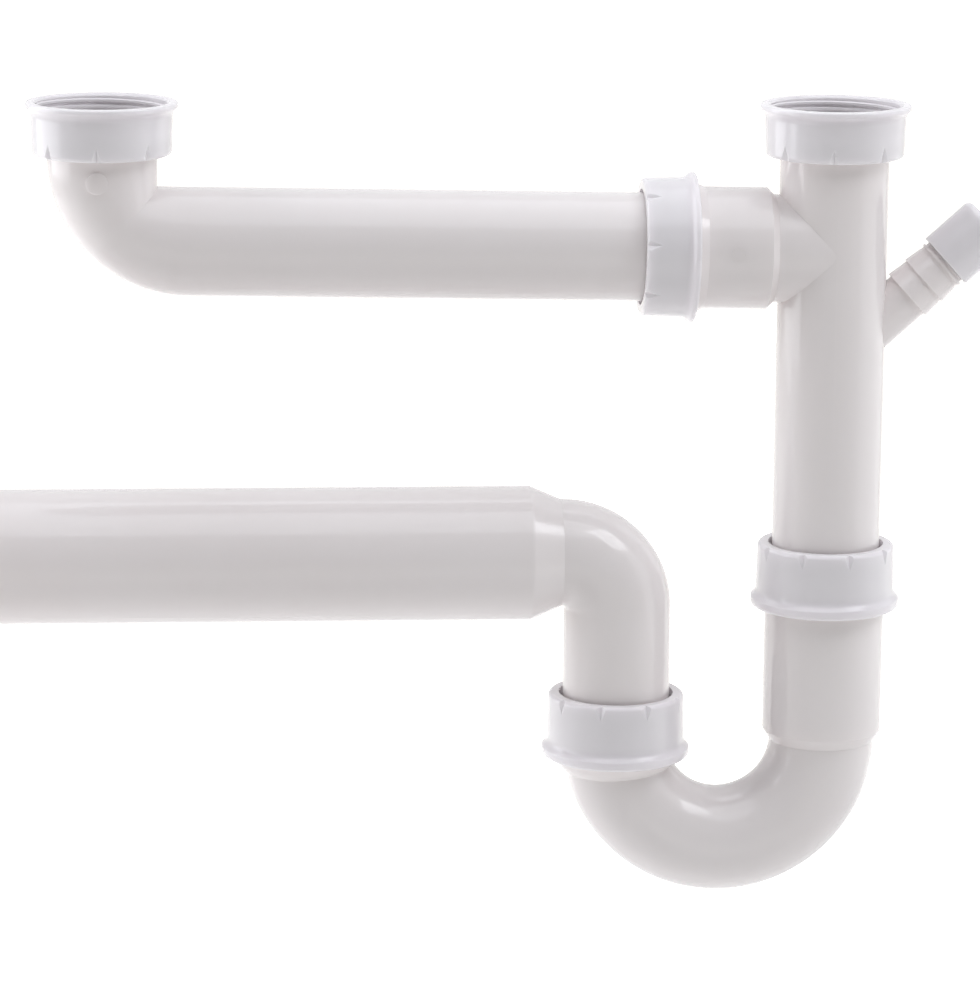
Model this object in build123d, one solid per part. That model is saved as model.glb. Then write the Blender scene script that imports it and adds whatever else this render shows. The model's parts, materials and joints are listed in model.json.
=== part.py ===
"""Tubular trap for a double-bowl sink, in white polypropylene.

Millimetres, +Z up. The origin is on the main inlet's axis, at the lower end of the thread in its
union nut. X runs along the arm and the outlet, and the outlet leaves towards -X. The arm falls a little
towards the tee, so that it drains.
"""

import math
import os
from typing import NamedTuple

from build123d import *

# tubes
PIPE_OD = 40.0
PIPE_WALL = 1.8
OUTLET_OD = 50.0
OUTLET_WALL = 2.0
TUBE_END_CHAMFER = 0.6
TUBE_END_RUN = 1.2

# main layout, from the origin
ARM_DROP = 42.7
ARM_FALL = 0.85
NOZZLE_DROP = 85.35
BEND_DROP = 228.6
SIDE_SPACING = 268.1
SIDE_RISE = 1.2
LEG_SPACING = 78.0
OUTLET_REACH = 335.0
OUTLET_RISE = 71.9

# screwed pipe joint, stacked from the nut's shoulder face to the socket
ARM_NUT_HEIGHT = 19.6
BEND_NUT_HEIGHT = 24.3
NUT_SHOULDER = 3.4
NUT_TUBE_CLEAR = 1.4
SLIP_RING_HEIGHT = 1.5
SLIP_RING_TUBE_CLEAR = 0.3
SEAL_HEAD = 2.5
SEAL_CONE = 5.6
SEAL_TIP = 0.5
SEAL_TUBE_CLEAR = 0.05
SEAL_SEAT_CLEAR = 0.05
SOCKET_CLEAR = 0.45
SOCKET_LIP = 0.7
SOCKET_LEAD = 0.36
SOCKET_LEAD_RUN = 0.72
SOCKET_WALL = 1.95
THREAD_DEPTH = 1.45
THREAD_CLEAR = 0.1
COLLAR_COVER = 1.0
TRAP_COLLAR_COVER = 4.4
COLLAR_LENGTH = 1.4
COLLAR_CLEAR = 0.15
RUN_OUT = 3.0
RING_CLEAR = 1.6

# nut outside
NUT_WALL = 1.4
NUT_DRAFT = 0.45
NUT_EDGE = 1.6
LIP_PROUD = 1.9
LIP_FLARE = 2.0
LIP_ROOT = 3.5
LIP_ROUND = 0.8
LIP_HEIGHT = 1.8
LIP_MOUTH_ROUND = 0.8
BEND_LIP_HEIGHT = 3.6
BEND_LIP_MOUTH_ROUND = 2.0
MOUTH_CHAMFER = 0.9
NOTCHES = 8
BEND_NOTCHES = 9
NOTCH_WIDTH = 4.6
NOTCH_DEPTH = 1.4
NOTCH_LENGTH = 5.2

# inlet connections: tube flange, flat gasket and union nut
UNION_HEIGHT = 19.3
UNION_SHOULDER = 2.6
UNION_RELIEF = 0.35
UNION_TUBE_CLEAR = 0.6
FLANGE_PROUD = 2.0
FLANGE_HEIGHT = 2.5
GASKET_HEIGHT = 2.6
GASKET_BORE = 32.0
SEAT_GAP = 0.5

# how each nut stands round its own axis, in degrees
MAIN_NUT_TURN = -8.9
SIDE_NUT_TURN = -3.7
ARM_NUT_TURN = -10.1
TRAP_NUT_TURN = -2.5
OUTLET_NUT_TURN = 28.1

# arm socket on the tee
ARM_SOCKET_OD = 45.0
ARM_SOCKET_REACH = 63.8
ARM_SOCKET_DEPTH = 36.8
ARM_SOCKET_LENGTH = 39.0
ARM_SOCKET_CHAMFER = 2.6
ARM_INSERT = 28.0
NECK_STEP = 0.05

# inlet bend
ELBOW_RADIUS = 31.4
ELBOW_SECTIONS = 6
MARK_OD = 8.0
MARK_PROUD = 0.45
MARK_DROP = 15.0
MARK_OFFSET = -1.5

# trap bend
BEND_OD = 39.4
TRAP_SOCKET_OD = 44.5
TRAP_SOCKET_LENGTH = 69.35
TRAP_SOCKET_OVERLAP = 1.5
TRAP_SOCKET_FLOOR = 8.5
TRAP_SOCKET_TAPER = 5.0
SOCKET_SINK = 0.6
TRAP_INSERT = 40.4
OUTLET_SOCKET_RISE = 10.95
OUTLET_SOCKET_DEPTH = 11.6
OUTLET_SOCKET_FOOT = 2.5
OUTLET_FOOT_OD = 43.0
OUTLET_END_GAP = 0.5

# outlet bend
OUTLET_ELBOW_RADIUS = 21.0
OUTLET_STUB = 0.5
OUTLET_CONE = 11.5
OUTLET_CONE_ROUND = 3.0
OUTLET_CHAMFER = 1.0
OUTLET_CHAMFER_RUN = 6.0

# hose nozzle and its cap, distances along the nozzle from the tee's axis
NOZZLE_ANGLE = 42.0
NOZZLE_OD = 18.4
NOZZLE_BORE = 13.0
BARB_START = 37.9
BARB_PITCH = 8.0
BARB_OD = 20.6
BARB_TIP_OD = 19.2
BARB_GAP = 1.0
LIP_OD = 20.0
LIP_WIDTH = 1.0
NECK_OD = 18.8
TIP_OD = 18.4
TIP_LENGTH = 15.0
TIP_CHAMFER = 0.6
TIP_CHAMFER_RUN = 1.5
CAP_START = 56.7
CAP_LENGTH = 21.5
CAP_OD = 22.4
CAP_TOP = 2.4
CAP_CLEAR = 0.08
CAP_ROUND = 2.6

# how far a cutting tool reaches past the face it opens
CUT_MARGIN = 1.0

# radii and levels that follow
PIPE_R = PIPE_OD / 2
BORE_R = PIPE_R - PIPE_WALL
BEND_BORE_R = BEND_OD / 2 - PIPE_WALL
OUTLET_R = OUTLET_OD / 2
OUTLET_BORE_R = OUTLET_R - OUTLET_WALL
SOCKET_BORE_R = PIPE_R + SOCKET_CLEAR
CORE_R = SOCKET_BORE_R + SOCKET_WALL
THREAD_R = CORE_R + THREAD_DEPTH
NUT_BORE_R = THREAD_R + THREAD_CLEAR
COLLAR_R = NUT_BORE_R - COLLAR_CLEAR
NUT_R = NUT_BORE_R + NUT_WALL
NUT_LOW_R = NUT_R + NUT_DRAFT
LIP_R = NUT_LOW_R + LIP_PROUD
NUT_EYE_R = PIPE_R + NUT_TUBE_CLEAR
UNION_EYE_R = PIPE_R + UNION_TUBE_CLEAR
RING_R = NUT_BORE_R - RING_CLEAR
MOUTH = NUT_SHOULDER + SLIP_RING_HEIGHT + SEAL_HEAD
SEAL_R = CORE_R - SOCKET_LIP
FLANGE_R = PIPE_R + FLANGE_PROUD
NECK_R = PIPE_R - NECK_STEP

FLANGE_TOP = -SEAT_GAP - GASKET_HEIGHT
FLANGE_FOOT = FLANGE_TOP - FLANGE_HEIGHT
UNION_FOOT = FLANGE_FOOT - UNION_SHOULDER
ARM_Z = -ARM_DROP
BEND_Z = -BEND_DROP
BEND_R = LEG_SPACING / 2
FALL = math.radians(ARM_FALL)
TRAP_SOCKET_DEPTH = TRAP_SOCKET_LENGTH - TRAP_SOCKET_FLOOR
TRAP_MOUTH_Z = BEND_Z - TRAP_SOCKET_OVERLAP + TRAP_SOCKET_LENGTH
OUTLET_MOUTH_Z = BEND_Z + OUTLET_SOCKET_RISE
OUTLET_Z = BEND_Z + OUTLET_RISE
TEE_END_Z = TRAP_MOUTH_Z - TRAP_INSERT


class NutKind(NamedTuple):
    """Sizes in which the nuts differ: height, lip past its flare, the lip's outer rounding and notches."""

    height: float
    lip: float
    mouth_round: float
    notches: int


UNION_KIND = NutKind(UNION_HEIGHT, LIP_HEIGHT, LIP_MOUTH_ROUND, NOTCHES)
ARM_KIND = NutKind(ARM_NUT_HEIGHT, LIP_HEIGHT, LIP_MOUTH_ROUND, NOTCHES)
BEND_KIND = NutKind(BEND_NUT_HEIGHT, BEND_LIP_HEIGHT, BEND_LIP_MOUTH_ROUND, BEND_NOTCHES)


def turned(points, rounds=None):
    """Turn a closed outline of (radius, height) points round Z, with some corners rounded by index."""
    face = make_face(Plane.XZ * Polyline(*points, close=True))
    for index, radius in (rounds or {}).items():
        r, z = points[index]
        corner = face.vertices().sort_by_distance((r, 0, z))[0]
        face = fillet(corner, radius)
    return revolve(face, Axis.Z)


def rod(radius, low, high):
    """Upright cylinder on the Z axis between two levels."""
    return Pos(0, 0, (low + high) / 2) * Cylinder(radius, high - low)


def on_arm(distance):
    """Place on the arm's axis at a distance from the tee's axis, with +Z down the fall to the tee."""
    x = -distance * math.cos(FALL)
    z = ARM_Z + distance * math.sin(FALL)
    return Pos(x, 0, z) * Rot(0, 90 + ARM_FALL, 0)


def notched(nut, count, turn):
    """Cut the V notches in the nut's shoulder edge, the first one at the given angle."""
    lean = math.degrees(math.atan2(NOTCH_DEPTH, NOTCH_LENGTH))
    outline = Polyline((0, 0), (2 * NOTCH_DEPTH, NOTCH_WIDTH), (2 * NOTCH_DEPTH, -NOTCH_WIDTH), close=True)
    wedge = extrude(make_face(outline), 2 * NOTCH_LENGTH, both=True)
    groove = Pos(NUT_R - NOTCH_DEPTH, 0, 0) * Rot(0, lean, 0) * wedge
    for k in range(count):
        nut -= Rot(0, 0, turn + k * 360.0 / count) * groove
    return nut


def turned_nut(kind, shoulder, eye, inside):
    """Round nut with a flared lip, its shoulder face at zero, with the given bore points."""
    lip = kind.height - kind.lip
    points = [
        (eye, 0),
        (NUT_R, 0),
        (NUT_LOW_R, lip - LIP_FLARE),
        (LIP_R, lip),
        (LIP_R, kind.height),
        (NUT_BORE_R + MOUTH_CHAMFER, kind.height),
        (NUT_BORE_R, kind.height - MOUTH_CHAMFER),
        *inside,
        (eye, shoulder),
    ]
    return turned(points, {1: NUT_EDGE, 2: LIP_ROOT, 3: LIP_ROUND, 4: kind.mouth_round})


def compression_nut(kind, turn):
    """Nut of a screwed pipe joint, shoulder face at zero and mouth towards +Z."""
    nut = turned_nut(kind, NUT_SHOULDER, NUT_EYE_R, [(NUT_BORE_R, NUT_SHOULDER)])
    return notched(nut, kind.notches, turn)


def union_nut(turn):
    """Nut of an inlet connection, with a relieved room for the flange and the gasket."""
    start = -UNION_FOOT
    relief = NUT_BORE_R + UNION_RELIEF
    inside = [(NUT_BORE_R, start), (relief, start), (relief, UNION_SHOULDER)]
    nut = turned_nut(UNION_KIND, UNION_SHOULDER, UNION_EYE_R, inside)
    return notched(nut, UNION_KIND.notches, turn)


def gasket():
    """Flat ring on the tube's flange."""
    high = FLANGE_TOP + GASKET_HEIGHT
    inner = GASKET_BORE / 2
    return turned([(inner, FLANGE_TOP), (FLANGE_R, FLANGE_TOP), (FLANGE_R, high), (inner, high)])


def slip_ring():
    """Flat ring between the nut's shoulder and the seal."""
    low = NUT_SHOULDER
    high = low + SLIP_RING_HEIGHT
    inner = PIPE_R + SLIP_RING_TUBE_CLEAR
    return turned([(inner, low), (RING_R, low), (RING_R, high), (inner, high)])


def wedge_seal():
    """Rubber ring with a head on the socket's end and a cone inside its mouth."""
    low = NUT_SHOULDER + SLIP_RING_HEIGHT
    tip = MOUTH + SEAL_CONE
    inner = PIPE_R + SEAL_TUBE_CLEAR
    thin = SOCKET_BORE_R - SEAL_SEAT_CLEAR
    return turned([
        (inner, low),
        (RING_R, low),
        (RING_R, MOUTH),
        (SEAL_R - SEAL_SEAT_CLEAR, MOUTH),
        (thin, tip),
        ((inner + thin) / 2, tip + SEAL_TIP),
        (inner, tip + SEAL_TIP),
    ])


def collar_start(nut_height, cover):
    """Distance from a socket's mouth to its collar, whose thread side the nut's mouth covers by so much."""
    return nut_height - MOUTH - cover


def socket_skin(thread, radius, tail):
    """Outside of a socket from its mouth at zero: thread core, collar, run-out and the tail's points."""
    collar = thread + COLLAR_LENGTH
    return turned([
        (0, 0),
        (CORE_R - SOCKET_LEAD, 0),
        (CORE_R, SOCKET_LEAD_RUN),
        (CORE_R, thread),
        (COLLAR_R, thread),
        (COLLAR_R, collar),
        (radius, collar + RUN_OUT),
        *tail,
    ])


def socket_room(depth):
    """Bore of a socket from its mouth at zero, with the cone that takes the seal."""
    return turned([
        (0, -CUT_MARGIN),
        (SEAL_R, -CUT_MARGIN),
        (SEAL_R, 0),
        (SOCKET_BORE_R, SEAL_CONE),
        (SOCKET_BORE_R, depth),
        (0, depth),
    ])


def corner_bend(radius):
    """Quarter bend with a round back and a sharp inner corner, from a leg above to an arm on the right.

    The sections are ellipses on planes through the centre of the back's arc, which is at the origin.
    """
    outer = ELBOW_RADIUS + radius
    inner = ELBOW_RADIUS - radius
    full = 90.0 - ARM_FALL

    def section(angle):
        a = math.radians(angle)
        near = inner / math.cos(min(a, math.radians(full) - a))
        out = Vector(-math.cos(a), 0, -math.sin(a))
        along = Vector(math.sin(a), 0, -math.cos(a))
        plane = Plane(origin=out * ((outer + near) / 2), x_dir=out, z_dir=along)
        return plane * Ellipse((outer - near) / 2, radius)

    step = full / 2 / (ELBOW_SECTIONS - 1)
    first = loft([section(k * step) for k in range(ELBOW_SECTIONS)])
    second = loft([section(full / 2 + k * step) for k in range(ELBOW_SECTIONS)])
    return first + second


def tee_body():
    """Upright tube with the inlet flange, the arm socket and the hose nozzle."""
    pipe = turned([
        (0, FLANGE_TOP),
        (FLANGE_R, FLANGE_TOP),
        (FLANGE_R, FLANGE_FOOT),
        (PIPE_R, FLANGE_FOOT),
        (PIPE_R, TEE_END_Z + TUBE_END_RUN),
        (PIPE_R - TUBE_END_CHAMFER, TEE_END_Z),
        (0, TEE_END_Z),
    ])
    at_arm = on_arm(ARM_SOCKET_REACH)
    neck_start = ARM_SOCKET_LENGTH + ARM_SOCKET_CHAMFER
    thread = collar_start(ARM_NUT_HEIGHT, COLLAR_COVER)
    socket = at_arm * socket_skin(thread, ARM_SOCKET_OD / 2, [
        (ARM_SOCKET_OD / 2, ARM_SOCKET_LENGTH),
        (NECK_R, neck_start),
        (NECK_R, ARM_SOCKET_REACH),
        (0, ARM_SOCKET_REACH),
    ])
    at_nozzle = Pos(0, 0, -NOZZLE_DROP) * Rot(0, 90 - NOZZLE_ANGLE, 0)
    body = pipe + socket + at_nozzle * nozzle_skin()
    body -= rod(BORE_R, TEE_END_Z - CUT_MARGIN, FLANGE_TOP + CUT_MARGIN)
    body -= at_arm * socket_room(ARM_SOCKET_DEPTH)
    body -= at_arm * rod(BORE_R, ARM_SOCKET_DEPTH - CUT_MARGIN, ARM_SOCKET_REACH)
    body -= at_nozzle * rod(NOZZLE_BORE / 2, 0, CAP_START + TIP_LENGTH + CUT_MARGIN)
    return body


def nozzle_skin():
    """Outside of the hose nozzle along +Z: root tube, barbs, lip and the tip under the cap."""
    second = BARB_START + BARB_PITCH
    barbs_end = second + BARB_PITCH - BARB_GAP
    lip = (barbs_end + CAP_START) / 2
    tip = CAP_START + TIP_LENGTH
    return turned([
        (0, 0),
        (NOZZLE_OD / 2, 0),
        (NOZZLE_OD / 2, BARB_START),
        (BARB_OD / 2, BARB_START),
        (BARB_TIP_OD / 2, second),
        (BARB_OD / 2, second),
        (BARB_TIP_OD / 2, barbs_end),
        (NECK_OD / 2, barbs_end),
        (NECK_OD / 2, lip - LIP_WIDTH / 2),
        (LIP_OD / 2, lip - LIP_WIDTH / 2),
        (LIP_OD / 2, lip + LIP_WIDTH / 2),
        (TIP_OD / 2, lip + LIP_WIDTH / 2),
        (TIP_OD / 2, tip - TIP_CHAMFER_RUN),
        (TIP_OD / 2 - TIP_CHAMFER, tip),
        (0, tip),
    ])


def nozzle_cap():
    """Push-on cap over the nozzle's tip."""
    high = CAP_START + CAP_LENGTH
    room = high - CAP_TOP
    bore = TIP_OD / 2 + CAP_CLEAR
    outer = CAP_OD / 2
    outline = [(bore, CAP_START), (outer, CAP_START), (outer, high), (0, high), (0, room), (bore, room)]
    cap = turned(outline, {2: CAP_ROUND})
    return Pos(0, 0, -NOZZLE_DROP) * Rot(0, 90 - NOZZLE_ANGLE, 0) * cap


def inlet_bend():
    """Flanged leg, corner bend and the long arm that slides into the tee's socket."""
    centre_x = -SIDE_SPACING + ELBOW_RADIUS
    start = (ELBOW_RADIUS * math.sin(FALL) - centre_x) / math.cos(FALL)
    leg_low = ARM_Z + start * math.sin(FALL) + ELBOW_RADIUS * math.cos(FALL)
    arm_length = start - ARM_SOCKET_REACH + ARM_INSERT
    leg = turned([
        (0, SIDE_RISE + FLANGE_TOP),
        (FLANGE_R, SIDE_RISE + FLANGE_TOP),
        (FLANGE_R, SIDE_RISE + FLANGE_FOOT),
        (PIPE_R, SIDE_RISE + FLANGE_FOOT),
        (PIPE_R, leg_low),
        (0, leg_low),
    ])
    arm = turned([
        (0, 0),
        (PIPE_R, 0),
        (PIPE_R, arm_length - TUBE_END_RUN),
        (PIPE_R - TUBE_END_CHAMFER, arm_length),
        (0, arm_length),
    ])
    at_leg = Pos(-SIDE_SPACING, 0, 0)
    at_bend = Pos(centre_x, 0, leg_low)
    at_arm = on_arm(start)
    mark_y = math.sqrt(PIPE_R**2 - MARK_OFFSET**2) + MARK_PROUD
    mark = Pos(-SIDE_SPACING + MARK_OFFSET, 0, -MARK_DROP) * Rot(90, 0, 0) * rod(MARK_OD / 2, 0, mark_y)
    body = at_leg * leg + at_bend * corner_bend(PIPE_R) + at_arm * arm + mark
    body -= at_leg * rod(BORE_R, leg_low, SIDE_RISE + FLANGE_TOP + CUT_MARGIN)
    body -= at_bend * corner_bend(BORE_R)
    body -= at_arm * rod(BORE_R, 0, arm_length + CUT_MARGIN)
    return body


def half_ring(radius):
    """Lower half of the trap's bend, as a solid of the given tube radius."""
    disc = Pos(0, 0, BEND_Z) * Circle(radius)
    return revolve(disc, Axis((-BEND_R, 0, BEND_Z), (0, 1, 0)), 180)


def u_bend():
    """Water-holding bend with the deep socket on the right and the short one on the left."""
    at_trap = Pos(0, 0, TRAP_MOUTH_Z) * Rot(180, 0, 0)
    taper = TRAP_SOCKET_LENGTH - TRAP_SOCKET_TAPER
    deep_thread = collar_start(BEND_NUT_HEIGHT, TRAP_COLLAR_COVER)
    deep = at_trap * socket_skin(deep_thread, TRAP_SOCKET_OD / 2, [
        (TRAP_SOCKET_OD / 2, taper),
        (BEND_OD / 2 - SOCKET_SINK, TRAP_SOCKET_LENGTH),
        (0, TRAP_SOCKET_LENGTH),
    ])
    at_outlet = Pos(-LEG_SPACING, 0, OUTLET_MOUTH_Z) * Rot(180, 0, 0)
    short_thread = collar_start(BEND_NUT_HEIGHT, COLLAR_COVER)
    end = short_thread + COLLAR_LENGTH + RUN_OUT + OUTLET_SOCKET_FOOT
    short = at_outlet * socket_skin(short_thread, OUTLET_FOOT_OD / 2, [
        (BEND_OD / 2 - SOCKET_SINK, end),
        (0, end),
    ])
    body = deep + half_ring(BEND_OD / 2) + short
    body -= at_trap * socket_room(TRAP_SOCKET_DEPTH)
    body -= rod(BEND_BORE_R, BEND_Z, TRAP_MOUTH_Z)
    body -= half_ring(BEND_BORE_R)
    body -= at_outlet * socket_room(OUTLET_SOCKET_DEPTH)
    return body


def outlet_bend():
    """Riser, tight elbow, cone and the larger outlet tube, whose end is a chamfered spigot."""
    riser_low = OUTLET_MOUTH_Z - OUTLET_SOCKET_DEPTH + OUTLET_END_GAP
    riser_high = OUTLET_Z - OUTLET_ELBOW_RADIUS
    elbow_x = -LEG_SPACING - OUTLET_ELBOW_RADIUS
    length = OUTLET_REACH + elbow_x
    at_riser = Pos(-LEG_SPACING, 0, 0)
    at_tube = Pos(elbow_x, 0, OUTLET_Z) * Rot(0, -90, 0)
    axis = Axis((elbow_x, 0, riser_high), (0, -1, 0))

    def run(small, large, foot, spigot):
        """Solid from the riser's foot to the spigot, whose outlines are lists of (radius, place) points."""
        riser = turned([(0, foot[0][1]), *foot, (small, riser_high), (0, riser_high)])
        elbow = revolve(Pos(-LEG_SPACING, 0, riser_high) * Circle(small), axis, 90)
        cone = [(0, 0), (small, 0), (small, OUTLET_STUB), (large, OUTLET_STUB + OUTLET_CONE)]
        tube = turned([*cone, *spigot, (0, spigot[-1][1])], {3: OUTLET_CONE_ROUND})
        return at_riser * riser + elbow + at_tube * tube

    skin = run(
        PIPE_R,
        OUTLET_R,
        [(PIPE_R - TUBE_END_CHAMFER, riser_low), (PIPE_R, riser_low + TUBE_END_RUN)],
        [(OUTLET_R, length - OUTLET_CHAMFER_RUN), (OUTLET_R - OUTLET_CHAMFER, length)],
    )
    room = run(
        BORE_R,
        OUTLET_BORE_R,
        [(BORE_R, riser_low - CUT_MARGIN)],
        [(OUTLET_BORE_R, length + CUT_MARGIN)],
    )
    return skin - room


AT_MAIN = Pos(0, 0, UNION_FOOT)
AT_SIDE = Pos(-SIDE_SPACING, 0, SIDE_RISE)
AT_ARM = on_arm(ARM_SOCKET_REACH + MOUTH)
AT_TRAP = Pos(0, 0, TRAP_MOUTH_Z + MOUTH) * Rot(180, 0, 0)
AT_OUTLET = Pos(-LEG_SPACING, 0, OUTLET_MOUTH_Z + MOUTH) * Rot(180, 0, 0)

PARTS = {
    "tee_body": tee_body(),
    "inlet_bend": inlet_bend(),
    "u_bend": u_bend(),
    "outlet_bend": outlet_bend(),
    "main_union_nut": AT_MAIN * union_nut(MAIN_NUT_TURN),
    "side_union_nut": AT_SIDE * AT_MAIN * union_nut(SIDE_NUT_TURN),
    "main_gasket": gasket(),
    "side_gasket": AT_SIDE * gasket(),
    "arm_nut": AT_ARM * compression_nut(ARM_KIND, ARM_NUT_TURN),
    "arm_slip_ring": AT_ARM * slip_ring(),
    "arm_wedge_seal": AT_ARM * wedge_seal(),
    "trap_nut": AT_TRAP * compression_nut(BEND_KIND, TRAP_NUT_TURN),
    "trap_slip_ring": AT_TRAP * slip_ring(),
    "trap_wedge_seal": AT_TRAP * wedge_seal(),
    "outlet_nut": AT_OUTLET * compression_nut(BEND_KIND, OUTLET_NUT_TURN),
    "outlet_slip_ring": AT_OUTLET * slip_ring(),
    "outlet_wedge_seal": AT_OUTLET * wedge_seal(),
    "nozzle_cap": nozzle_cap(),
}

os.makedirs("parts", exist_ok=True)
for name, shape in PARTS.items():
    export_step(shape, f"parts/{name}.step")
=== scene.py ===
"""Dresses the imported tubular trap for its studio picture.

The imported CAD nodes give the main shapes. This script adds the screw threads and a faint mould mark, gives
every piece its finish, and sets up the floor, the light and the camera. Metres, +Z up, in the part's frame.
"""

import json
import logging
import math
from dataclasses import dataclass, field, replace
from enum import Enum

import bmesh
import bpy
from mathutils import Matrix, Vector

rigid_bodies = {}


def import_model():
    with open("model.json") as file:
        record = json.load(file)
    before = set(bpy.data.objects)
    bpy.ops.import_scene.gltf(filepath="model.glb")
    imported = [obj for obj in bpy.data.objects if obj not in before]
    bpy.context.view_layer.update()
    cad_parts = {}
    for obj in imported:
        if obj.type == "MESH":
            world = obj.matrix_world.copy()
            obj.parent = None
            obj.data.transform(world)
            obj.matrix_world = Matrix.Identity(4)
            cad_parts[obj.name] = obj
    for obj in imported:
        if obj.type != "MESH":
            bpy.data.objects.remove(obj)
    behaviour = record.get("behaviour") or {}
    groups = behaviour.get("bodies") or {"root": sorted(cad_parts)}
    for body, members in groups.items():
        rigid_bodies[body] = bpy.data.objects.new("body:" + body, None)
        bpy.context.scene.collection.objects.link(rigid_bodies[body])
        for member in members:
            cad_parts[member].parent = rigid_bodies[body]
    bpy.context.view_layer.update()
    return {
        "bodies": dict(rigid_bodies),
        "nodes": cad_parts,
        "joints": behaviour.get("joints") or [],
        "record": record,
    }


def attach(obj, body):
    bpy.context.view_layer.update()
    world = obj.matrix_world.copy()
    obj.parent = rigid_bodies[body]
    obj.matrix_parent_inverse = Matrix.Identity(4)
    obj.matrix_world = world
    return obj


LOG = logging.getLogger("tubular_trap")
MM = 0.001

Colour = tuple[float, float, float]
Span = tuple[float, float]

UNIT: Span = (0.0, 1.0)
WHITE = (1.0, 1.0, 1.0, 1.0)
PITCH = 2.309 * MM
NUT_BORE = 23.95 * MM


class Slot(Enum):
    """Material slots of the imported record."""

    TUBE = "tube_white"
    NUT = "nut_white"
    GASKET = "gasket_rubber"
    SEAL = "seal_rubber"
    SLIP = "slip_plastic"


class ThreadSide(Enum):
    """Which wall a screw thread stands on."""

    SOCKET = "socket"
    NUT = "nut"


class Recipe:
    """Node graph of one material, built from short calls."""

    def __init__(self, name: str) -> None:
        """Start a material with only its shader and output.

        Args:
            name: the material's name.
        """
        self.material = bpy.data.materials.new(name)
        self.material.use_nodes = True
        self.tree = self.material.node_tree
        self.tree.nodes.clear()
        self.shader = self.tree.nodes.new("ShaderNodeBsdfPrincipled")
        output = self.tree.nodes.new("ShaderNodeOutputMaterial")
        self.link(self.shader.outputs["BSDF"], output.inputs["Surface"])
        self.place = self.tree.nodes.new("ShaderNodeTexCoord").outputs["Object"]

    def link(self, source: bpy.types.NodeSocket, target: bpy.types.NodeSocket) -> None:
        """Join two sockets."""
        self.tree.links.new(source, target)

    def noise(self, size: float, detail: float) -> bpy.types.NodeSocket:
        """Cloudy pattern whose features are about one size across.

        Args:
            size: width of a feature, in metres.
            detail: octaves of finer clouds.

        Returns:
            The pattern's 0 to 1 value.
        """
        node = self.tree.nodes.new("ShaderNodeTexNoise")
        node.inputs["Scale"].default_value = 1.0 / size
        node.inputs["Detail"].default_value = detail
        self.link(self.place, node.inputs["Vector"])
        return node.outputs["Fac"]

    def spread(self, value: bpy.types.NodeSocket, source: Span, target: Span) -> bpy.types.NodeSocket:
        """Map a value from one range to another, clamped.

        Args:
            value: the value to map.
            source: the range that is read.
            target: the range that is written.

        Returns:
            The mapped value.
        """
        node = self.tree.nodes.new("ShaderNodeMapRange")
        node.inputs["From Min"].default_value, node.inputs["From Max"].default_value = source
        node.inputs["To Min"].default_value, node.inputs["To Max"].default_value = target
        self.link(value, node.inputs["Value"])
        return node.outputs["Result"]

    def mix(self, factor: bpy.types.NodeSocket, first: Colour, second: Colour) -> bpy.types.NodeSocket:
        """Blend two colours by a pattern.

        Args:
            factor: 0 for the first colour, 1 for the second.
            first: linear colour.
            second: linear colour.

        Returns:
            The blended colour.
        """
        node = self.tree.nodes.new("ShaderNodeMix")
        node.data_type = "RGBA"
        node.inputs["A"].default_value = (*first, 1.0)
        node.inputs["B"].default_value = (*second, 1.0)
        self.link(factor, node.inputs["Factor"])
        return node.outputs["Result"]

    def seam(self, half_width: float) -> bpy.types.NodeSocket:
        """Narrow line where the two halves of a mould met, on the plane through all the tubes' axes.

        Args:
            half_width: half the line's width, in metres.

        Returns:
            1 on the line, falling to 0 beside it.
        """
        split = self.tree.nodes.new("ShaderNodeSeparateXYZ")
        self.link(self.place, split.inputs["Vector"])
        away = self.tree.nodes.new("ShaderNodeMath")
        away.operation = "ABSOLUTE"
        self.link(split.outputs["Y"], away.inputs[0])
        return self.spread(away.outputs["Value"], (0.0, half_width), (1.0, 0.0))

    def bump(
        self, height: bpy.types.NodeSocket, distance: float, under: bpy.types.NodeSocket | None = None
    ) -> bpy.types.NodeSocket:
        """Relief from a pattern, laid over another relief where one is given.

        Args:
            height: 0 to 1 pattern.
            distance: real height of the pattern, in metres.
            under: the relief below it.

        Returns:
            The bumped normal.
        """
        node = self.tree.nodes.new("ShaderNodeBump")
        node.inputs["Strength"].default_value = 1.0
        node.inputs["Distance"].default_value = distance
        self.link(height, node.inputs["Height"])
        if under is not None:
            self.link(under, node.inputs["Normal"])
        return node.outputs["Normal"]


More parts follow.
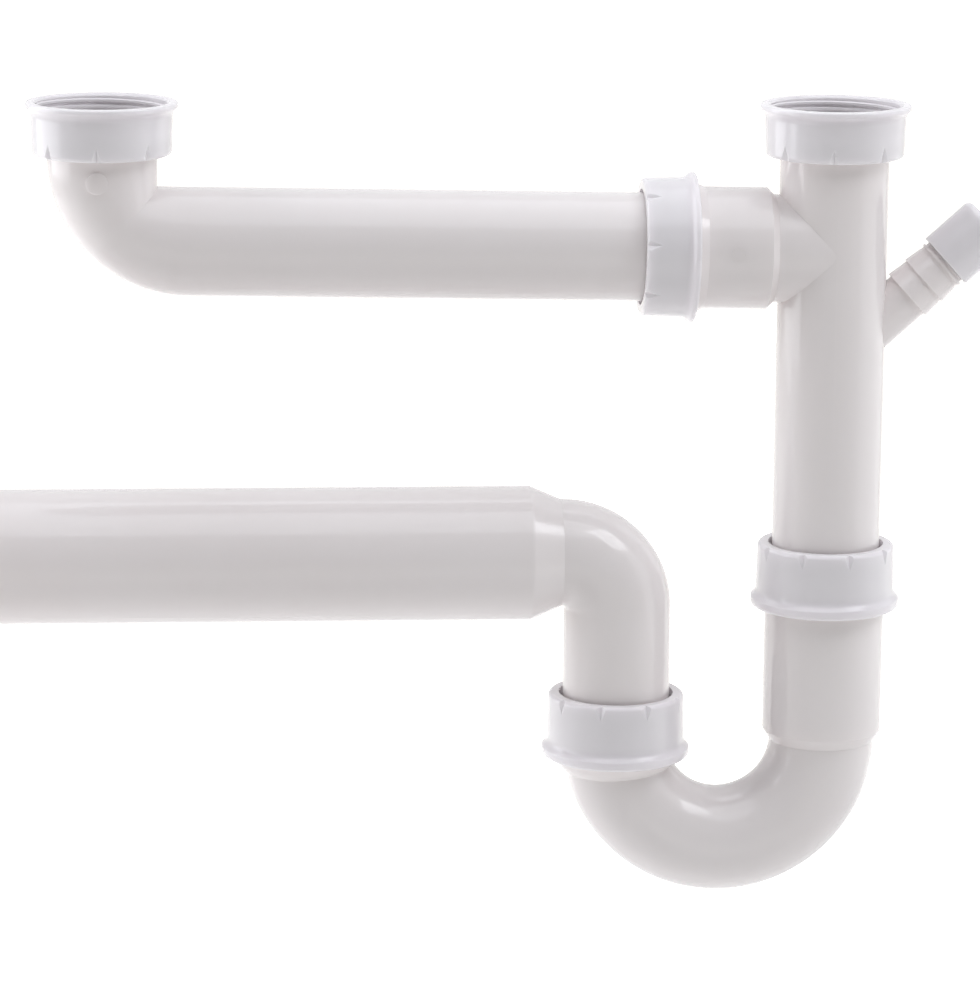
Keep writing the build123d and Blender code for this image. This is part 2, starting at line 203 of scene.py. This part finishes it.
@dataclass(frozen=True)
class PlasticFinish:
    """Moulded white plastic that lets some light in, with faint clouds, a wavy gloss and a fine skin."""

    name: str
    colour: Colour
    cloud: Colour
    gloss: Span
    milkiness: float = 0.0
    light_depth: float = 2.5 * MM
    light_spread: Colour = (1.0, 1.0, 1.0)
    refraction: float = 1.49
    contrast: Span = (0.3, 0.7)
    cloud_size: float = 60 * MM
    cloud_detail: float = 3.0
    smear_size: float = 15 * MM
    smear_detail: float = 4.0
    wave_size: float = 9 * MM
    wave_detail: float = 1.0
    wave_height: float = 0.02 * MM
    skin_size: float = 0.8 * MM
    skin_detail: float = 2.0
    skin_height: float = 0.0012 * MM
    seam_height: float = 0.0
    seam_half_width: float = 0.25 * MM

    def material(self) -> bpy.types.Material:
        """Build the finish.

        Returns:
            The material.
        """
        recipe = Recipe(self.name)
        clouds = recipe.spread(recipe.noise(self.cloud_size, self.cloud_detail), self.contrast, UNIT)
        recipe.link(recipe.mix(clouds, self.colour, self.cloud), recipe.shader.inputs["Base Color"])
        smears = recipe.spread(recipe.noise(self.smear_size, self.smear_detail), self.contrast, self.gloss)
        recipe.link(smears, recipe.shader.inputs["Roughness"])
        normal = recipe.bump(recipe.noise(self.wave_size, self.wave_detail), self.wave_height)
        normal = recipe.bump(recipe.noise(self.skin_size, self.skin_detail), self.skin_height, normal)
        if self.seam_height > 0:
            normal = recipe.bump(recipe.seam(self.seam_half_width), self.seam_height, normal)
        recipe.link(normal, recipe.shader.inputs["Normal"])
        recipe.shader.inputs["IOR"].default_value = self.refraction
        recipe.shader.inputs["Subsurface Weight"].default_value = self.milkiness
        recipe.shader.inputs["Subsurface Radius"].default_value = self.light_spread
        recipe.shader.inputs["Subsurface Scale"].default_value = self.light_depth
        return recipe.material


@dataclass(frozen=True)
class RubberFinish:
    """Moulded rubber: dull, with a fine grain and a dusty bloom."""

    name: str
    colour: Colour
    bloom: Colour
    dullness: Span = (0.55, 0.75)
    contrast: Span = (0.4, 0.75)
    bloom_size: float = 8 * MM
    bloom_detail: float = 4.0
    grain_size: float = 0.35 * MM
    grain_detail: float = 2.0
    grain_height: float = 0.02 * MM

    def material(self) -> bpy.types.Material:
        """Build the finish.

        Returns:
            The material.
        """
        recipe = Recipe(self.name)
        bloom = recipe.spread(recipe.noise(self.bloom_size, self.bloom_detail), self.contrast, UNIT)
        recipe.link(recipe.mix(bloom, self.colour, self.bloom), recipe.shader.inputs["Base Color"])
        recipe.link(recipe.spread(bloom, UNIT, self.dullness), recipe.shader.inputs["Roughness"])
        grain = recipe.bump(recipe.noise(self.grain_size, self.grain_detail), self.grain_height)
        recipe.link(grain, recipe.shader.inputs["Normal"])
        return recipe.material


class FinishRack:
    """The trap's finishes, one material for each slot of the record."""

    FINISHES: dict[Slot, PlasticFinish | RubberFinish] = {
        Slot.TUBE: PlasticFinish(
            "warm_white_tube",
            colour=(0.89, 0.84, 0.832),
            cloud=(0.876, 0.824, 0.814),
            gloss=(0.09, 0.14),
            milkiness=0.5,
            seam_height=0.05 * MM,
        ),
        Slot.NUT: PlasticFinish(
            "cool_white_nut",
            colour=(0.86, 0.828, 0.852),
            cloud=(0.846, 0.814, 0.837),
            gloss=(0.14, 0.2),
            milkiness=0.8,
        ),
        Slot.SLIP: PlasticFinish(
            "matt_slip_ring",
            colour=(0.84, 0.83, 0.83),
            cloud=(0.82, 0.81, 0.81),
            gloss=(0.42, 0.52),
            milkiness=0.5,
            wave_height=0.01 * MM,
        ),
        Slot.GASKET: RubberFinish("gasket_rubber", colour=(0.7, 0.7, 0.69), bloom=(0.75, 0.75, 0.74)),
        Slot.SEAL: RubberFinish("seal_rubber", colour=(0.05, 0.05, 0.052), bloom=(0.08, 0.08, 0.078)),
    }

    def __init__(self) -> None:
        """Build every finish once, and an opaque one of each plastic for pieces too thin to hold light."""
        self.materials = {slot: finish.material() for slot, finish in self.FINISHES.items()}
        self.opaque = {
            slot: replace(finish, name=f"{finish.name}_thin", milkiness=0.0).material()
            for slot, finish in self.FINISHES.items()
            if isinstance(finish, PlasticFinish)
        }

    def dress(self, piece: bpy.types.Object, slot: Slot, thin: bool = False) -> None:
        """Give a piece its finish and name its slot.

        Args:
            piece: a CAD node or a new piece.
            slot: the record's slot.
            thin: whether the piece is too thin to hold light.
        """
        piece.data.materials.clear()
        piece.data.materials.append(self.opaque[slot] if thin else self.materials[slot])
        LOG.info("%s takes %s", piece.name, slot.value)


class Workshop:
    """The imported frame, the finishes, and the way a new mesh becomes a piece."""

    SMOOTH_UNDER = math.radians(40)

    def __init__(self, frame: dict) -> None:
        """Keep the frame and build the finishes.
        """
        self.nodes: dict[str, bpy.types.Object] = frame["nodes"]
        self.rack = FinishRack()

    def dress_node(self, node: str, slot: Slot) -> None:
        """Give a CAD node its finish."""
        self.rack.dress(self.nodes[node], slot)

    def piece(self, mesh: bmesh.types.BMesh, name: str, body: str, slot: Slot) -> None:
        """Turn a finished bmesh into a thin piece that rides on a body.

        Args:
            mesh: the shape, already in its place; it is freed.
            name: the piece's name.
            body: the CAD body that carries it.
            slot: the record's slot.
        """
        bmesh.ops.recalc_face_normals(mesh, faces=mesh.faces)
        data = bpy.data.meshes.new(name)
        mesh.to_mesh(data)
        mesh.free()
        data.shade_smooth()
        data.set_sharp_from_angle(angle=self.SMOOTH_UNDER)
        made = bpy.data.objects.new(name, data)
        bpy.context.scene.collection.objects.link(made)
        self.rack.dress(made, slot, thin=True)
        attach(made, body)
        LOG.info("%s rides on %s with %d faces", name, body, len(data.polygons))


@dataclass
class ScrewThread:
    """One right-handed ridge round Z, on a socket's outside or a nut's inside."""

    side: ThreadSide
    root: float
    crest: float
    low: float
    high: float
    pitch: float = PITCH
    root_width: float = 1.15 * MM
    crest_width: float = 0.42 * MM
    sink: float = 0.12 * MM
    steps: int = 72
    fade: float = 0.3
    end_level: float = 0.02

    @property
    def foot(self) -> float:
        """Radius of the ridge's root, a little inside its wall."""
        return self.root + (-self.sink if self.side is ThreadSide.SOCKET else self.sink)

    def mesh(self, place: Matrix) -> bmesh.types.BMesh:
        """Sweep the ridge and put it in its place.

        Args:
            place: from the thread's own frame to the part's.

        Returns:
            The ridge, closed at both ends.
        """
        rise = self.high - self.low
        turns = rise / self.pitch
        shape = bmesh.new()
        corners = [
            (self.foot, -self.root_width / 2),
            (self.crest, -self.crest_width / 2),
            (self.crest, self.crest_width / 2),
            (self.foot, self.root_width / 2),
        ]
        profile = shape.faces.new([shape.verts.new((r, 0.0, self.low + z)) for r, z in corners])
        count = round(turns * self.steps)
        bmesh.ops.spin(
            shape,
            geom=[profile, *profile.edges, *profile.verts],
            cent=(0.0, 0.0, 0.0),
            axis=(0.0, 0.0, 1.0),
            dvec=(0.0, 0.0, rise / count),
            angle=math.tau * turns,
            steps=count,
        )
        self._fade_ends(shape, turns)
        bmesh.ops.holes_fill(shape, edges=[e for e in shape.edges if e.is_boundary], sides=len(corners))
        bmesh.ops.transform(shape, matrix=place, verts=shape.verts)
        return shape

    def _fade_ends(self, shape: bmesh.types.BMesh, turns: float) -> None:
        """Let the ridge sink into its wall at both ends.

        Args:
            shape: the swept ridge, still round Z.
            turns: how many times it goes round.
        """
        for vert in shape.verts:
            part = (math.atan2(vert.co.y, vert.co.x) / math.tau) % 1.0
            whole = round((vert.co.z - self.low) / self.pitch - part)
            along = whole + part
            level = min(1.0, max(self.end_level, min(along, turns - along) / self.fade))
            radius = math.hypot(vert.co.x, vert.co.y)
            wanted = self.foot + (radius - self.foot) * level
            vert.co.x *= wanted / radius
            vert.co.y *= wanted / radius


@dataclass
class InletConnection:
    """Union nut of one inlet with its inside thread, and the flat gasket under it."""

    name: str
    place: Matrix
    bore: float = NUT_BORE
    crest: float = 23.2 * MM
    low: float = 1.0 * MM
    high: float = 9.4 * MM
    root_width: float = 1.6 * MM
    crest_width: float = 0.7 * MM

    def build(self, shop: Workshop) -> None:
        """Add the thread and dress the nut and the gasket.

        Args:
            shop: makes and dresses the pieces.
        """
        thread = ScrewThread(
            ThreadSide.NUT,
            self.bore,
            self.crest,
            self.low,
            self.high,
            root_width=self.root_width,
            crest_width=self.crest_width,
        )
        shop.piece(thread.mesh(self.place), f"{self.name}_nut_thread", f"{self.name}_nut", Slot.NUT)
        shop.dress_node(f"{self.name}_union_nut", Slot.NUT)
        shop.dress_node(f"{self.name}_gasket", Slot.GASKET)


@dataclass
class PipeJoint:
    """Screwed joint of two tubes: nut, slip ring, wedge seal, and the two threads that hold them."""

    name: str
    socket_body: str
    place: Matrix
    mouth: float
    nut_height: float
    core: float = 22.4 * MM
    nut_bore: float = NUT_BORE
    clearance: float = 0.1 * MM
    apart: float = PITCH / 2
    lead: float = 1.5 * MM
    collar_cover: float = 1.0 * MM
    end_room: float = 0.8 * MM

    def build(self, shop: Workshop) -> None:
        """Add both threads and dress the nut, the ring and the seal.

        Args:
            shop: makes and dresses the pieces.
        """
        low = self.mouth + self.lead
        high = self.nut_height - self.collar_cover - self.end_room
        outside = ScrewThread(ThreadSide.SOCKET, self.core, self.nut_bore - self.clearance, low, high)
        inside = ScrewThread(
            ThreadSide.NUT, self.nut_bore, self.core + self.clearance, low - self.apart, high - self.apart
        )
        shop.piece(outside.mesh(self.place), f"{self.name}_socket_thread", self.socket_body, Slot.TUBE)
        shop.piece(inside.mesh(self.place), f"{self.name}_nut_thread", f"{self.name}_ring_nut", Slot.NUT)
        shop.dress_node(f"{self.name}_nut", Slot.NUT)
        shop.dress_node(f"{self.name}_slip_ring", Slot.SLIP)
        shop.dress_node(f"{self.name}_wedge_seal", Slot.SEAL)


@dataclass
class ArmSocketMark:
    """Faint raised ring that the mould left on the front of the arm's socket."""

    place: Matrix
    along: float = -37.6 * MM
    above: float = 1.1 * MM
    wall: float = 22.5 * MM
    ring: float = 2.4 * MM
    width: float = 0.35 * MM
    proud: float = 0.06 * MM
    sink: float = 0.2 * MM
    segments: int = 40

    def build(self, shop: Workshop) -> None:
        """Model a flat ring, wrap it on the socket's wall and let it ride on the tee.

        Args:
            shop: makes and dresses the piece.
        """
        shape = bmesh.new()
        bmesh.ops.create_circle(shape, cap_ends=False, radius=self.ring, segments=self.segments)
        wide = bmesh.ops.extrude_edge_only(shape, edges=shape.edges[:])
        outer = [v for v in wide["geom"] if isinstance(v, bmesh.types.BMVert)]
        grow = 1.0 + self.width / self.ring
        bmesh.ops.scale(shape, vec=(grow, grow, 1.0), verts=outer)
        bmesh.ops.solidify(shape, geom=shape.faces[:], thickness=self.proud + self.sink)
        sheet = min(v.co.z for v in shape.verts)
        for vert in shape.verts:
            radius = self.wall - self.sink + vert.co.z - sheet
            height = self.above + vert.co.y
            vert.co = Vector((self.along + vert.co.x, -math.sqrt(radius**2 - height**2), height))
        bmesh.ops.transform(shape, matrix=self.place, verts=shape.verts)
        shop.piece(shape, "arm_socket_mark", "tee", Slot.TUBE)


@dataclass
class Mouldings:
    """The four tube mouldings and the nozzle's cap."""

    tubes: tuple[str, ...] = ("tee_body", "inlet_bend", "u_bend", "outlet_bend")
    cap: str = "nozzle_cap"

    def build(self, shop: Workshop) -> None:
        """Dress the mouldings.

        Args:
            shop: dresses the nodes.
        """
        for node in self.tubes:
            shop.dress_node(node, Slot.TUBE)
        shop.dress_node(self.cap, Slot.NUT)


@dataclass
class Lamp:
    """One soft box: where it hangs, where it points, its size and its power."""

    name: str
    place: tuple[float, float, float]
    aim: tuple[float, float, float]
    size: Span
    power: float
    tint: Colour = (0.985, 1.0, 1.04)

    def build(self) -> None:
        """Hang the lamp."""
        light = bpy.data.lights.new(self.name, "AREA")
        light.shape = "RECTANGLE"
        light.size, light.size_y = self.size
        light.energy = self.power
        light.color = self.tint
        hung = bpy.data.objects.new(self.name, light)
        hung.location = self.place
        away = Vector(self.aim) - Vector(self.place)
        hung.rotation_euler = away.to_track_quat("-Z", "Y").to_euler()
        bpy.context.scene.collection.objects.link(hung)


@dataclass
class Studio:
    """Pale floor, white surroundings and soft boxes."""

    floor_level: float = -0.62
    floor_half: float = 9.0
    floor_colour: Colour = (0.93, 0.93, 0.93)
    glow_tint: Colour = (1.02, 1.0, 0.95)
    glow: float = 0.23
    near_lift: float = 0.03
    far_lift: float = 0.8
    lift_span: Span = (0.4, 1.1)
    floor_cells: int = 4
    white_light: float = 1.0
    tent_light: float = 0.09
    lamps: tuple[Lamp, ...] = (
        Lamp("top_box", place=(-0.12, -0.3, 1.2), aim=(-0.12, -0.3, 0.0), size=(1.6, 1.9), power=12.6),
        Lamp("left_box", place=(-1.72, 0.35, 0.58), aim=(-0.12, 0.25, 0.58), size=(1.65, 2.0), power=26.0),
        Lamp("right_box", place=(1.48, 0.1, 0.42), aim=(0.0, 0.0, 0.42), size=(2.24, 2.05), power=9.0),
        Lamp("key_box", place=(1.14, -0.64, 1.3), aim=(-0.06, 0.0, -0.15), size=(0.9, 0.9), power=10.5),
    )

    def build(self) -> None:
        """Set up the floor, the world and the lamps."""
        self._floor()
        self._world()
        for lamp in self.lamps:
            lamp.build()
        bpy.context.scene.view_settings.view_transform = "Standard"

    def _floor(self) -> None:
        """Lay the floor."""
        shape = bmesh.new()
        bmesh.ops.create_grid(
            shape, x_segments=self.floor_cells, y_segments=self.floor_cells, size=self.floor_half
        )
        bmesh.ops.translate(shape, vec=(0.0, 0.0, self.floor_level), verts=shape.verts)
        data = bpy.data.meshes.new("floor")
        shape.to_mesh(data)
        shape.free()
        data.materials.append(self._floor_material())
        floor = bpy.data.objects.new("floor", data)
        bpy.context.scene.collection.objects.link(floor)

    def _floor_material(self) -> bpy.types.Material:
        """Faintly glowing table that keeps the shadow and fades to white further away.

        Returns:
            The material.
        """
        material = bpy.data.materials.new("pale_floor")
        material.use_nodes = True
        tree = material.node_tree
        tree.nodes.clear()
        paint = tree.nodes.new("ShaderNodeBsdfDiffuse")
        paint.inputs["Color"].default_value = (*self.floor_colour, 1.0)
        lift = tree.nodes.new("ShaderNodeEmission")
        lift.inputs["Color"].default_value = (*self.glow_tint, 1.0)
        seen_lift = self._math(tree, "MULTIPLY", self._seen(tree), self._floor_lift(tree))
        strength = self._math(tree, "ADD", seen_lift, self.glow)
        tree.links.new(strength, lift.inputs["Strength"])
        both = tree.nodes.new("ShaderNodeAddShader")
        output = tree.nodes.new("ShaderNodeOutputMaterial")
        tree.links.new(paint.outputs["BSDF"], both.inputs[0])
        tree.links.new(lift.outputs["Emission"], both.inputs[1])
        tree.links.new(both.outputs["Shader"], output.inputs["Surface"])
        return material

    def _floor_lift(self, tree: bpy.types.NodeTree) -> bpy.types.NodeSocket:
        """How much brighter the floor looks than it is lit: little below the part, to white further away.

        Args:
            tree: the floor's node tree.

        Returns:
            The lift's socket.
        """
        where = tree.nodes.new("ShaderNodeTexCoord")
        flat = tree.nodes.new("ShaderNodeVectorMath")
        flat.operation = "MULTIPLY"
        flat.inputs[1].default_value = (1.0, 1.0, 0.0)
        tree.links.new(where.outputs["Object"], flat.inputs[0])
        away = tree.nodes.new("ShaderNodeVectorMath")
        away.operation = "LENGTH"
        tree.links.new(flat.outputs["Vector"], away.inputs[0])
        ramp = tree.nodes.new("ShaderNodeMapRange")
        ramp.interpolation_type = "SMOOTHSTEP"
        ramp.inputs["From Min"].default_value, ramp.inputs["From Max"].default_value = self.lift_span
        ramp.inputs["To Min"].default_value = self.near_lift
        ramp.inputs["To Max"].default_value = self.far_lift
        tree.links.new(away.outputs["Value"], ramp.inputs["Value"])
        return ramp.outputs["Result"]

    def _seen(self, tree: bpy.types.NodeTree) -> bpy.types.NodeSocket:
        """1 for rays that look at the background, directly, in gloss or through glass.

        Args:
            tree: the node tree to add to.

        Returns:
            The value's socket.
        """
        rays = tree.nodes.new("ShaderNodeLightPath").outputs
        direct = self._math(tree, "MAXIMUM", rays["Is Camera Ray"], rays["Is Glossy Ray"])
        return self._math(tree, "MAXIMUM", direct, rays["Is Transmission Ray"])

    @staticmethod
    def _math(
        tree: bpy.types.NodeTree,
        operation: str,
        first: bpy.types.NodeSocket,
        second: bpy.types.NodeSocket | float,
    ) -> bpy.types.NodeSocket:
        """Join two values by one operation.

        Args:
            tree: the node tree to add to.
            operation: the operation's name in Blender.
            first: the first value.
            second: the second value, a socket or a constant.

        Returns:
            The result's socket.
        """
        node = tree.nodes.new("ShaderNodeMath")
        node.operation = operation
        tree.links.new(first, node.inputs[0])
        if isinstance(second, bpy.types.NodeSocket):
            tree.links.new(second, node.inputs[1])
        else:
            node.inputs[1].default_value = second
        return node.outputs["Value"]

    def _world(self) -> None:
        """White surroundings for the eye, and a faint even light from all round."""
        world = bpy.data.worlds.new("white_tent")
        bpy.context.scene.world = world
        world.use_nodes = True
        tree = world.node_tree
        tree.nodes.clear()
        choose = tree.nodes.new("ShaderNodeMixShader")
        tree.links.new(self._seen(tree), choose.inputs["Fac"])
        for place, strength in ((1, self.tent_light), (2, self.white_light)):
            light = tree.nodes.new("ShaderNodeBackground")
            light.inputs["Strength"].default_value = strength
            light.inputs["Color"].default_value = WHITE
            tree.links.new(light.outputs["Background"], choose.inputs[place])
        output = tree.nodes.new("ShaderNodeOutputWorld")
        tree.links.new(choose.outputs["Shader"], output.inputs["Surface"])


@dataclass
class PhotoCamera:
    """Camera at the photograph's place, from its angles, distance and focal length in pixels."""

    target: Vector = field(default_factory=lambda: Vector((-0.12596, 0.0, -0.132905)))
    azimuth: float = math.radians(-4.147)
    elevation: float = math.radians(12.165)
    roll: float = math.radians(0.461)
    distance: float = 1.642855
    focal_pixels: float = 4427.097
    picture_width: int = 980
    sensor: float = 36.0
    far_end: float = 100.0

    def build(self) -> None:
        """Set the scene's camera."""
        data = bpy.data.cameras.new("photo_camera")
        data.sensor_fit = "HORIZONTAL"
        data.sensor_width = self.sensor
        data.lens = self.focal_pixels / self.picture_width * self.sensor
        data.clip_end = self.far_end
        camera = bpy.data.objects.new("photo_camera", data)
        level = math.cos(self.elevation)
        back = Vector((
            math.sin(self.azimuth) * level, -math.cos(self.azimuth) * level, math.sin(self.elevation)
        ))
        right = (-back).cross(Vector((0.0, 0.0, 1.0))).normalized()
        up = right.cross(-back)
        turned_right = math.cos(self.roll) * right + math.sin(self.roll) * up
        turned_up = math.cos(self.roll) * up - math.sin(self.roll) * right
        axes = Matrix((turned_right, turned_up, back)).transposed().to_4x4()
        camera.matrix_world = Matrix.Translation(self.target + back * self.distance) @ axes
        bpy.context.scene.collection.objects.link(camera)
        bpy.context.scene.camera = camera


@dataclass(frozen=True)
class Layout:
    """Where the joints stand, from the main inlet's axis, and how far their nuts reach over the sockets."""

    mouth: float = 7.4 * MM
    arm_nut_height: float = 19.6 * MM
    bend_nut_height: float = 24.3 * MM
    trap_collar_cover: float = 4.4 * MM
    side_x: float = -268.1 * MM
    side_rise: float = 1.2 * MM
    arm_z: float = -42.7 * MM
    arm_fall: float = math.radians(0.85)
    arm_reach: float = 63.8 * MM
    leg_x: float = -78.0 * MM
    trap_mouth_z: float = -160.75 * MM
    outlet_mouth_z: float = -217.65 * MM

    def arm_axis(self) -> Matrix:
        """Frame on the tee's axis whose X runs down the arm's fall."""
        return Matrix.Translation((0.0, 0.0, self.arm_z)) @ Matrix.Rotation(self.arm_fall, 4, "Y")

    def arm_joint(self) -> Matrix:
        """Frame on the arm nut's shoulder face, with +Z into the tee's socket."""
        shoulder = Matrix.Translation((-self.arm_reach - self.mouth, 0.0, 0.0))
        return self.arm_axis() @ shoulder @ Matrix.Rotation(math.pi / 2, 4, "Y")

    def bend_joint(self, x: float, mouth_z: float) -> Matrix:
        """Frame on the shoulder face of a nut of the trap bend, with +Z down into its socket.

        Args:
            x: the socket's place along X.
            mouth_z: the level of the socket's mouth.

        Returns:
            From the joint's own frame to the part's.
        """
        return Matrix.Translation((x, 0.0, mouth_z + self.mouth)) @ Matrix.Rotation(math.pi, 4, "Y")


def main() -> None:
    """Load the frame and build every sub-assembly in order."""
    logging.basicConfig(level=logging.INFO, format="%(name)s: %(message)s")
    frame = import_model()
    PhotoCamera().build()
    Studio().build()
    shop = Workshop(frame)
    layout = Layout()
    trap = layout.bend_joint(0.0, layout.trap_mouth_z)
    outlet = layout.bend_joint(layout.leg_x, layout.outlet_mouth_z)
    mouth = layout.mouth
    bend_nut = layout.bend_nut_height
    assemblies = (
        Mouldings(),
        InletConnection("main", Matrix.Identity(4)),
        InletConnection("side", Matrix.Translation((layout.side_x, 0.0, layout.side_rise))),
        PipeJoint("arm", "tee", layout.arm_joint(), mouth, layout.arm_nut_height),
        PipeJoint("trap", "bend", trap, mouth, bend_nut, collar_cover=layout.trap_collar_cover),
        PipeJoint("outlet", "bend", outlet, mouth, bend_nut),
        ArmSocketMark(layout.arm_axis()),
    )
    for assembly in assemblies:
        assembly.build(shop)


if __name__ == "__main__":
    main()
